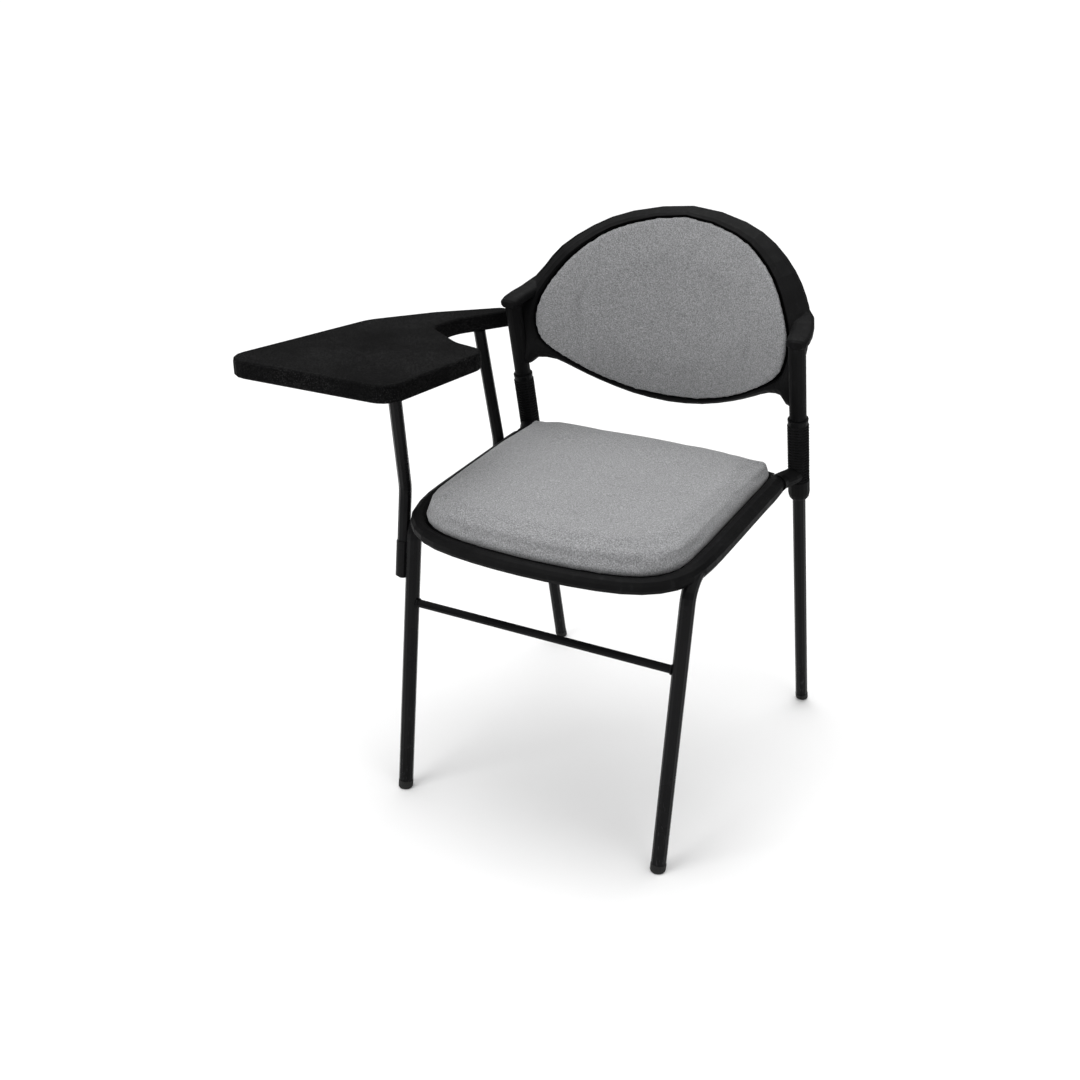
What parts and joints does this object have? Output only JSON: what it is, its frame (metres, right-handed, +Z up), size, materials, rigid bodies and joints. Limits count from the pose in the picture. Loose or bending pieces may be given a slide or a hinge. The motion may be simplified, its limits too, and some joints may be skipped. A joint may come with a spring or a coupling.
{
  "type": "student desk chair",
  "caption": "Upholstered four-legged classroom chair with a curved plastic back, ribbed joint sleeves and a fixed writing tablet beside the sitter's right arm.",
  "frame": {"origin": "centre of the whole object's bounding box, at floor level", "axes": "+Z up, -Y the way the sitter faces, -X the side of the writing tablet (the sitter's right)"},
  "size_m": [0.7402, 0.582, 0.822],
  "materials": {
    "black_steel": "satin black powder coat",
    "black_plastic": "fine-grained moulded polypropylene",
    "foot_plastic": "matt",
    "tablet_skin": "leather-grained moulding",
    "grey_fabric": "woven, heathered mid grey",
    "plywood": "raw",
    "screw_steel": "zinc plated"
  },
  "bodies": {
    "root": {"side_tube_left": "black_steel", "side_tube_right": "black_steel", "rear_post_left": "black_steel", "rear_post_right": "black_steel", "front_crossbar": "black_steel", "seat_rail_front": "black_steel", "seat_rail_rear": "black_steel", "tablet_plate_front": "black_steel", "tablet_plate_rear": "black_steel", "tablet_post_front": "black_steel", "tablet_post_rear": "black_steel", "tablet_socket": "black_steel", "tablet_bracket": "black_steel", "joint_sleeve_left": "black_plastic", "joint_sleeve_right": "black_plastic", "seat_pan": "black_plastic", "back_frame": "black_plastic", "tablet_socket_plug": "black_plastic", "foot_cap_front_left": "foot_plastic", "foot_cap_front_right": "foot_plastic", "foot_cap_rear_left": "foot_plastic", "foot_cap_rear_right": "foot_plastic", "tablet_screw_front_1": "screw_steel", "tablet_screw_front_2": "screw_steel", "tablet_screw_front_3": "screw_steel", "tablet_screw_front_4": "screw_steel", "tablet_screw_rear_1": "screw_steel", "tablet_screw_rear_2": "screw_steel", "tablet_screw_rear_3": "screw_steel", "seat_screw_front_left": "screw_steel", "seat_screw_front_right": "screw_steel", "seat_screw_rear_left": "screw_steel", "seat_screw_rear_right": "screw_steel", "back_screw_low_left": "screw_steel", "back_screw_low_right": "screw_steel", "back_screw_high_left": "screw_steel", "back_screw_high_right": "screw_steel", "tablet_board": "tablet_skin", "seat_pad": "grey_fabric", "back_pad": "grey_fabric", "seat_board": "plywood", "back_board": "plywood"}
  },
  "joints": []
}
